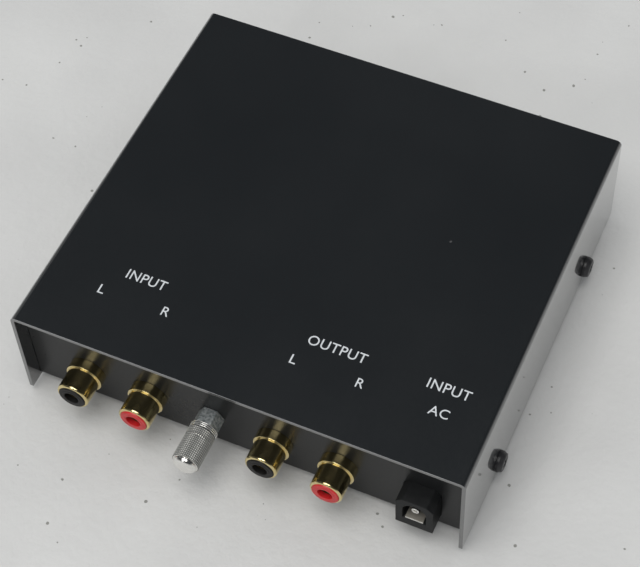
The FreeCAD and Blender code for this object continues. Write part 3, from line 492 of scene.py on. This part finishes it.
# The cover's screws: a shank and a pan head with a cross recess
def make_screws(corners):
    low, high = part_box("cover_screws")
    head, thick, side, dome = 2.75, 1.85, 0.75, 0.45
    shank, length = 1.45, 5.0
    form = turned("cover_screws_dressed", [
        (-length, 0, 0), (-length, shank, 0.3), (0, shank, 0), (0, head, 0.12), (side, head, 0.25),
        (thick, head - dome, 0.55), (thick, 0, 0)], (0, 0, 0), axis="x", steps=64)
    recess = bmesh.new()
    arm, flank, depth, taper, proud = 1.55, 0.36, 1.15, 0.45, 0.2
    plus = [(flank, arm), (flank, flank), (arm, flank), (arm, -flank), (flank, -flank), (flank, -arm),
            (-flank, -arm), (-flank, -flank), (-arm, -flank), (-arm, flank), (-flank, flank), (-flank, arm)]
    mouth = [recess.verts.new(Vector((thick + proud, y, z)) * MM) for y, z in plus]
    floor = [recess.verts.new(Vector((thick - depth, y * taper, z * taper)) * MM) for y, z in plus]
    recess.faces.new(mouth)
    recess.faces.new(reversed(floor))
    for index, start in enumerate(mouth):
        after = (index + 1) % len(mouth)
        recess.faces.new((start, mouth[after], floor[after], floor[index]))
    cutter = from_bmesh("cross_recess", recess)
    carve = form.modifiers.new("recess", "BOOLEAN")
    carve.object = cutter
    carve.solver = "EXACT"
    make_plain(form)
    bpy.data.objects.remove(cutter)
    reach = (high.x - low.x) / 2 - thick * MM
    rise = (low.z + high.z) / 2
    depth_apart = high.y - low.y - 2 * head * MM
    grow(form, corners, Width=2 * reach, Depth=depth_apart, Centre=(0, (low.y + high.y) / 2, rise),
         Left_Turn=HALF_TURN, Finish=FINISHES["screw_black"])
    fit_out(form, "screw_black", "root", "cover_screws")


def make_feet(corners):
    low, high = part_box("rubber_feet")
    radius, tall = 4.5, (high.z - low.z) / MM
    form = turned("rubber_feet_dressed", [
        (0, 0, 0), (0, radius - 0.35, 0.35), (tall * 0.55, radius, 0.5), (tall, radius - 0.1, 0.15),
        (tall, 0, 0)], (0, 0, 0), axis="z", steps=72)
    span = 2 * radius * MM
    grow(form, corners, Width=high.x - low.x - span, Depth=high.y - low.y - span,
         Centre=(0, (low.y + high.y) / 2, low.z), Finish=FINISHES["foot_rubber"])
    fit_out(form, "foot_rubber", "root", "rubber_feet")


# The phono sockets: a gold shell, narrow at the back, round an insulator with a raised face
def make_sockets():
    barrel, shoulder, bushing, shell_bore, rear_bore = 4.15, 4.7, 3.0, 3.56, 2.45
    barrel_end, flare, shoulder_end, shell_end, bore_end = 5.8, 0.1, 8.5, 16.5, 6.8
    core_radius, core_rear, pin_hole, core_end = 3.54, 2.4, 1.9, 17.5
    boss, boss_face, rim_face = 2.45, -0.35, -0.28
    for place, colour in (("input_left", "black"), ("input_right", "red"),
                          ("output_left", "black"), ("output_right", "red")):
        low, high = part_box(place + "_shell")
        across, rise = (low.x + high.x) / 2 / MM, (low.z + high.z) / 2 / MM
        front = low.y / MM
        centre = (across, front, rise)
        shell = turned(place + "_barrel", [
            (0, shell_bore, 0), (0, barrel, 0.55), (barrel_end - flare, barrel, 0),
            (barrel_end, barrel + flare, 0), (barrel_end, shoulder, 0.16), (shoulder_end, shoulder, 0.12),
            (shoulder_end, bushing, 0), (shell_end, bushing, 0.15), (shell_end, rear_bore, 0),
            (bore_end, rear_bore, 0), (bore_end, shell_bore, 0)], centre)
        fit_out(shell, "gold_plate", "root", place + "_shell")
        core = turned(place + "_core", [
            (boss_face, pin_hole, 0.10), (boss_face, boss, 0.05), (rim_face, boss + 0.07, 0.05),
            (rim_face, core_radius - 0.14, 0.15), (0.2, core_radius, 0.1), (bore_end, core_radius, 0),
            (bore_end, core_rear, 0), (core_end, core_rear, 0.1), (core_end, pin_hole, 0)], centre)
        fit_out(core, colour + "_insulator", "root", place + "_insulator")


def lay_skin(tree, lines_around, lines_along):
    """A flat sheet of cells, and how far around and along each of its points lies, from 0 to 1."""
    sheet = add(tree, "GeometryNodeMeshGrid", {
        "Size X": 1.0, "Size Y": 1.0, "Vertices X": sum_up(tree, "ADD", lines_around, 1),
        "Vertices Y": sum_up(tree, "ADD", lines_along, 1)})
    spot = add(tree, "ShaderNodeSeparateXYZ", {0: add(tree, "GeometryNodeInputPosition").outputs[0]})
    around = sum_up(tree, "ADD", spot.outputs["X"], 0.5)
    along = sum_up(tree, "ADD", spot.outputs["Y"], 0.5)
    return sheet.outputs["Mesh"], around, along


def wrap_skin(tree, inside, sheet, around, along, radius):
    """Wraps a sheet round the Y axis, each point at its own radius, and welds it to the ends."""
    angle = sum_up(tree, "MULTIPLY", around, FULL_TURN)
    place = add(tree, "ShaderNodeCombineXYZ", {
        "X": sum_up(tree, "MULTIPLY", radius, sum_up(tree, "SINE", angle, None)),
        "Y": sum_up(tree, "MULTIPLY", along, inside["Length"]),
        "Z": sum_up(tree, "MULTIPLY", radius, sum_up(tree, "COSINE", angle, None))})
    spots = sum_up_vectors(tree, "ADD", place.outputs["Vector"], inside["Centre"])
    wrapped = add(tree, "GeometryNodeSetPosition", {"Geometry": sheet, "Position": spots})
    joined = add(tree, "GeometryNodeJoinGeometry")
    tree.links.new(inside["Ends"], joined.inputs["Geometry"])
    tree.links.new(wrapped.outputs["Geometry"], joined.inputs["Geometry"])
    welded = add(tree, "GeometryNodeMergeByDistance", {
        "Geometry": joined.outputs["Geometry"], "Distance": SAME_PLACE})
    return welded.outputs["Geometry"]


# A knurled band: a skin wrapped round the Y axis whose radius rises to a point in each cell
def make_knurl_tree():
    tree, inside, out = new_group("knurled_band", "GeometryNodeTree", [
        ("Ends", SHAPE, None), ("Centre", VECTOR, None), ("Length", FLOAT, 0.008), ("Radius", FLOAT, 0.0033),
        ("Tooth", FLOAT, 0.0001), ("Cells Around", WHOLE, 56), ("Cells Along", WHOLE, 18),
        ("Groove Row", WHOLE, 10), ("Groove Depth", FLOAT, 0.0001), ("Finish", MATERIAL, None)],
        [("Piece", SHAPE)])
    lines_around = sum_up(tree, "MULTIPLY", inside["Cells Around"], 2)
    lines_along = sum_up(tree, "MULTIPLY", inside["Cells Along"], 2)
    sheet, around, along = lay_skin(tree, lines_around, lines_along)
    line = sum_up(tree, "ROUND", sum_up(tree, "MULTIPLY", around, lines_around), None)
    row = sum_up(tree, "ROUND", sum_up(tree, "MULTIPLY", along, lines_along), None)
    peak = sum_up(tree, "MULTIPLY", sum_up(tree, "MODULO", line, 2), sum_up(tree, "MODULO", row, 2))
    in_groove = add(tree, "ShaderNodeMath", {0: row, 1: inside["Groove Row"], 2: 0.5}, operation="COMPARE")
    cut = sum_up(tree, "MULTIPLY", in_groove.outputs[0], inside["Groove Depth"])
    rise = sum_up(tree, "SUBTRACT", sum_up(tree, "MULTIPLY", peak, inside["Tooth"]), cut)
    radius = sum_up(tree, "ADD", inside["Radius"], rise)
    skin = wrap_skin(tree, inside, sheet, around, along, radius)
    return give_out(tree, skin, inside, out["Piece"])


def turn_out(piece):
    """Turns every face of a closed piece outwards."""
    mesh = bmesh.new()
    mesh.from_mesh(piece.data)
    bmesh.ops.recalc_face_normals(mesh, faces=mesh.faces)
    mesh.to_mesh(piece.data)
    mesh.free()
    return piece


def make_thumb_nut():
    low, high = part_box("ground_thumb_nut")
    across, rise = (low.x + high.x) / 2, (low.z + high.z) / 2
    front, back = low.y / MM, high.y / MM
    grip_radius, cells, rim = 3.36, 44, 3.2
    nose, nose_radius, nose_round = 1.3, 3.04, 1.15
    bore, bore_depth = 2.0, 7.5
    band_front, band_back = front + nose + 0.08, back - 0.12
    ends = turned("thumb_nut_dressed", [
        (band_front, grip_radius, 0), (front + nose + 0.02, rim, 0), (front + nose, nose_radius, 0),
        (front, nose_radius, nose_round), (front, 0, 0), (back - bore_depth, 0, 0),
        (back - bore_depth, bore, 0), (back, bore, 0.1), (back, rim, 0.06), (band_back, grip_radius, 0)],
        (across / MM, 0, rise / MM), steps=2 * cells, closed=False)
    grow(ends, make_knurl_tree(), Centre=(across, band_front * MM, rise),
         Length=(band_back - band_front) * MM, Radius=grip_radius * MM, Tooth=0.2 * MM, Cells_Around=cells,
         Cells_Along=17, Groove_Row=26, Groove_Depth=0.15 * MM, Finish=FINISHES["nickel_knurl"])
    fit_out(turn_out(ends), "nickel_knurl", "ground_thumb_nut", "ground_thumb_nut")


# The loose washers behind the thumb nut, one form repeated along the stud
def make_washers():
    tree, inside, out = new_group("washer_stack", "GeometryNodeTree", [
        ("Washer", SHAPE, None), ("Count", WHOLE, 3), ("Step", VECTOR, None), ("Finish", MATERIAL, None)],
        [("Pieces", SHAPE)])
    row = add(tree, "GeometryNodeMeshLine", {"Count": inside["Count"], "Offset": inside["Step"]})
    placed = add(tree, "GeometryNodeInstanceOnPoints", {
        "Points": row.outputs["Mesh"], "Instance": inside["Washer"]})
    give_out(tree, placed.outputs["Instances"], inside, out["Pieces"])
    low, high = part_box("ground_washers")
    count, hole, radius, gap = 3, 2.0, 3.5, 0.09
    pitch = (high.y - low.y) / count
    thick = pitch / MM - gap
    centre = ((low.x + high.x) / 2 / MM, low.y / MM + gap / 2, (low.z + high.z) / 2 / MM)
    washer = turned("washers_dressed", [
        (0, hole, 0.04), (0, radius, 0.17), (thick, radius, 0.17), (thick, hole, 0.04)], centre)
    grow(washer, tree, Count=count, Step=(0, pitch, 0), Finish=WASHER_METAL)
    fit_out(washer, "nickel", "ground_washers", "ground_washers")


# The stud's thread: a skin round the Y axis whose radius rises and falls along a helix
def make_thread_tree():
    tree, inside, out = new_group("threaded_rod", "GeometryNodeTree", [
        ("Ends", SHAPE, None), ("Centre", VECTOR, None), ("Length", FLOAT, 0.02), ("Root", FLOAT, 0.0016),
        ("Ridge", FLOAT, 0.0003), ("Pitch", FLOAT, 0.0007), ("Steps Around", WHOLE, 36),
        ("Steps Along", WHOLE, 160), ("Finish", MATERIAL, None)], [("Piece", SHAPE)])
    sheet, around, along = lay_skin(tree, inside["Steps Around"], inside["Steps Along"])
    turns = sum_up(tree, "DIVIDE", sum_up(tree, "MULTIPLY", along, inside["Length"]), inside["Pitch"])
    wave = sum_up(tree, "PINGPONG", sum_up(tree, "ADD", turns, around), 0.5)
    steepness = 30.0
    start = sum_up(tree, "MULTIPLY", along, steepness, use_clamp=True)
    end = sum_up(tree, "MULTIPLY", sum_up(tree, "SUBTRACT", 1.0, along), steepness, use_clamp=True)
    fade = sum_up(tree, "MULTIPLY", start, end)
    ridge = sum_up(tree, "MULTIPLY", sum_up(tree, "MULTIPLY", wave, 2.0), inside["Ridge"])
    radius = sum_up(tree, "ADD", inside["Root"], sum_up(tree, "MULTIPLY", ridge, fade))
    skin = wrap_skin(tree, inside, sheet, around, along, radius)
    return give_out(tree, skin, inside, out["Piece"])


def make_stud():
    low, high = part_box("ground_stud")
    across, rise = (low.x + high.x) / 2, (low.z + high.z) / 2
    front, back = low.y / MM, high.y / MM
    root, tip, steps = 1.62, 0.3, 36
    ends = turned("stud_dressed", [
        (front + tip, root, 0), (front, root - tip, 0), (front, 0, 0), (back, 0, 0), (back, root - tip, 0),
        (back - tip, root, 0)], (across / MM, 0, rise / MM), steps=steps, closed=False)
    grow(ends, make_thread_tree(), Centre=(across, (front + tip) * MM, rise),
         Length=(back - front - 2 * tip) * MM, Root=root * MM, Ridge=0.31 * MM, Pitch=0.7 * MM,
         Steps_Around=steps, Steps_Along=170, Finish=FINISHES["zinc_steel"])
    fit_out(turn_out(ends), "zinc_steel", "root", "ground_stud")


def make_terminal():
    collar = softened_copy("ground_collar_nut", "collar_nut_dressed", 0.16, steps=3)
    fit_out(collar, "zinc_steel", "root", "ground_collar_nut")
    make_stud()
    make_washers()
    make_thumb_nut()


# The low-voltage inlet
def make_inlet():
    housing = softened_copy("inlet_housing", "inlet_body", 0.18, steps=3)
    fit_out(housing, "inlet_plastic", "root", "inlet_housing")
    leaf = softened_copy("inlet_leaf", "inlet_spring", 0.08, steps=3)
    leaf.data.materials.append(SHADED_LEAF_NICKEL)
    leaf.data.materials.append(FINISHES["nickel"])
    lip_depth, lip_forward, facing_front = 0.3, 0.42, -0.3
    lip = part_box("inlet_leaf")[0].y + lip_depth * MM
    for vertex in leaf.data.vertices:
        if vertex.co.y < lip:
            vertex.co.y -= lip_forward * MM
    # Faces that face the front keep the nickel; the rest get the darker copy, as painted shade.
    for face in leaf.data.polygons:
        face.material_index = int(face.normal.y < facing_front)
    fit_out(leaf, "nickel", "root", "inlet_leaf")
    low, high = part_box("inlet_pin")
    centre = ((low.x + high.x) / 2 / MM, low.y / MM, (low.z + high.z) / 2 / MM)
    tail = (high.y - low.y) / MM
    post, post_end, shank, hollow, hollow_depth = 1.0, 9.4, 0.7, 0.5, 0.8
    pin = turned("inlet_post", [
        (hollow_depth, 0, 0), (hollow_depth, hollow - 0.08, 0.05), (0, hollow, 0.1), (0, post, 0.22),
        (post_end, post, 0), (post_end, shank, 0), (tail, shank, 0.1), (tail, 0, 0)], centre, steps=64)
    fit_out(pin, "nickel", "root", "inlet_pin")


# The printed words: each (letters, across, back, width, height of a capital)
WORDS = [
    ("INPUT", -33.0, 22.3, 10.4, 2.7),
    ("L", -41.7, 15.8, 1.55, 2.5),
    ("R", -24.65, 15.9, 1.9, 2.5),
    ("OUTPUT", 17.1, 22.1, 14.8, 2.7),
    ("L", 8.8, 15.6, 1.55, 2.5),
    ("R", 25.65, 15.6, 1.9, 2.5),
    ("INPUT", 45.2, 22.0, 10.6, 2.7),
    ("AC", 45.2, 15.5, 4.9, 2.5),
]


def make_lettering():
    """The words as thin ink on the cover, all in one piece."""
    low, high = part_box("top_cover")
    half_ink = 0.02
    ink = bmesh.new()
    for index, (letters, across, back, width, tall) in enumerate(WORDS):
        curve = bpy.data.curves.new(f"word_{index}", "FONT")
        curve.body = letters
        curve.space_character = 1.06
        curve.extrude = 0.5
        curve.offset = 0.002
        curve.resolution_u = 6
        word = new_object(f"word_{index}", curve)
        graph = bpy.context.evaluated_depsgraph_get()
        flat = bpy.data.meshes.new_from_object(word.evaluated_get(graph))
        bpy.data.objects.remove(word)
        spots = [vertex.co for vertex in flat.vertices]
        left, right = min(spot.x for spot in spots), max(spot.x for spot in spots)
        foot, head = min(spot.y for spot in spots), max(spot.y for spot in spots)
        for vertex in flat.vertices:
            vertex.co = Vector((
                (across + ((vertex.co.x - left) / (right - left) - 0.5) * width) * MM,
                low.y + (back + ((vertex.co.y - foot) / (head - foot) - 0.5) * tall) * MM,
                high.z + (half_ink if vertex.co.z > 0 else -half_ink) * MM))
        ink.from_mesh(flat)
        bpy.data.meshes.remove(flat)
    bmesh.ops.remove_doubles(ink, verts=ink.verts, dist=SAME_PLACE / 10)
    piece = from_bmesh("cover_lettering", ink)
    piece.data.materials.append(LETTER_INK)
    fit_out(piece, "case_paint", "root", shade=False)


# The pieces inside keep their CAD shapes and get the finish of their slot
def dress_inner_pieces():
    for item in frame["record"]["subparts"]:
        node = frame["nodes"][item["node"]]
        node.data.materials.clear()
        node.data.materials.append(FINISHES[item["material_slot"]])


# The pale floor and the soft light of a plain room
def make_floor():
    mesh = bmesh.new()
    reach = 4.0
    bmesh.ops.create_grid(mesh, x_segments=8, y_segments=8, size=reach)
    floor = from_bmesh("floor", mesh, outward=False)
    floor.data.materials.append(make_finish(
        "floor_plaster", (0.635, 0.63, 0.618), (0.575, 0.57, 0.56), (0.75, 0.9), cloud=22.0, grain=420.0,
        relief=0.5, depth=0.15, speck=0.12, speck_scale=420.0, speck_tint=(0.26, 0.26, 0.24)))


def add_lamp(name, place, aim, size, power, colour):
    lamp = bpy.data.lights.new(name, "AREA")
    lamp.shape = "RECTANGLE"
    lamp.size, lamp.size_y = size
    lamp.energy = power
    lamp.color = colour
    holder = new_object(name, lamp)
    holder.location = place
    holder.rotation_euler = (Vector(aim) - Vector(place)).to_track_quat("-Z", "Y").to_euler()


def make_light():
    world = bpy.data.worlds.new("room")
    bpy.context.scene.world = world
    world.use_nodes = True
    tree = world.node_tree
    tree.nodes.clear()
    direction = add(tree, "ShaderNodeSeparateXYZ", {0: add(tree, "ShaderNodeTexCoord").outputs["Generated"]})
    wall_foot, wall_head = 0.02, 0.42
    pale_wall, dark_ceiling, fill_tint = (0.62, 0.62, 0.61), (0.030, 0.032, 0.035), (0.965, 1.0, 1.035)
    height = stretch(tree, direction.outputs["Z"], wall_foot, wall_head)
    seen = mix_colours(tree, height, opaque(pale_wall), opaque(dark_ceiling))
    room = add(tree, "ShaderNodeBackground", {"Color": seen, "Strength": 1.0})
    fill = add(tree, "ShaderNodeBackground", {"Color": opaque(fill_tint), "Strength": 0.49})
    path = add(tree, "ShaderNodeLightPath").outputs
    looked_at = sum_up(tree, "MAXIMUM", path["Is Camera Ray"], sum_up(
        tree, "MAXIMUM", path["Is Glossy Ray"], path["Is Transmission Ray"]))
    both = add(tree, "ShaderNodeMixShader", {
        0: looked_at, 1: fill.outputs["Background"], 2: room.outputs["Background"]})
    add(tree, "ShaderNodeOutputWorld", {"Surface": both.outputs["Shader"]})
    add_lamp("ceiling_panel", place=(-0.06, -0.46, 1.6), aim=(0, -0.25, 0), size=(1.2, 1.2), power=17.0,
             colour=(1.0, 0.995, 0.975))
    add_lamp("side_window", place=(-1.9, 0.7, 1.5), aim=(0, 0, 0), size=(1.2, 0.9), power=0.8,
             colour=(1.0, 0.99, 0.97))
    add_lamp("front_window", place=(-0.45, -1.6, 1.2), aim=(0, 0, 0), size=(0.25, 0.4), power=2.5,
             colour=(0.98, 0.99, 1.0))


# The camera, where the photograph was taken from, with its focal length and optical middle in pixels
PHOTO_WIDTH, PHOTO_HEIGHT = 640, 567
FOCAL_PIXELS = 1809.7034
MIDDLE_ACROSS, MIDDLE_DOWN = 378.4774, 246.8247
SENSOR_WIDTH = 36.0
CAMERA_PLACE = (118.938, -231.203, 386.309)


def make_camera():
    camera = bpy.data.cameras.new("camera")
    camera.sensor_width = SENSOR_WIDTH
    camera.lens = FOCAL_PIXELS / PHOTO_WIDTH * SENSOR_WIDTH
    camera.shift_x = (PHOTO_WIDTH / 2 - MIDDLE_ACROSS) / PHOTO_WIDTH
    camera.shift_y = (MIDDLE_DOWN - PHOTO_HEIGHT / 2) / PHOTO_WIDTH
    camera.clip_start = 0.02
    right = Vector((0.9188708523, 0.3944677861, -0.0084570940))
    down = Vector((0.3140823249, -0.7442584590, -0.5894333206))
    ahead = Vector((-0.2388067208, 0.5389568739, -0.8077727639))
    holder = new_object("camera", camera)
    turn = Matrix((right, -down, -ahead)).transposed().to_4x4()
    holder.matrix_world = Matrix.Translation(Vector(CAMERA_PLACE) * MM) @ turn
    bpy.context.scene.camera = holder
    bpy.context.scene.view_settings.view_transform = "Standard"


dress_inner_pieces()
make_cover()
make_tray()
CORNERS = make_corner_tree()
make_screws(CORNERS)
make_feet(CORNERS)
make_sockets()
make_terminal()
make_inlet()
make_lettering()
make_floor()
make_light()
make_camera()
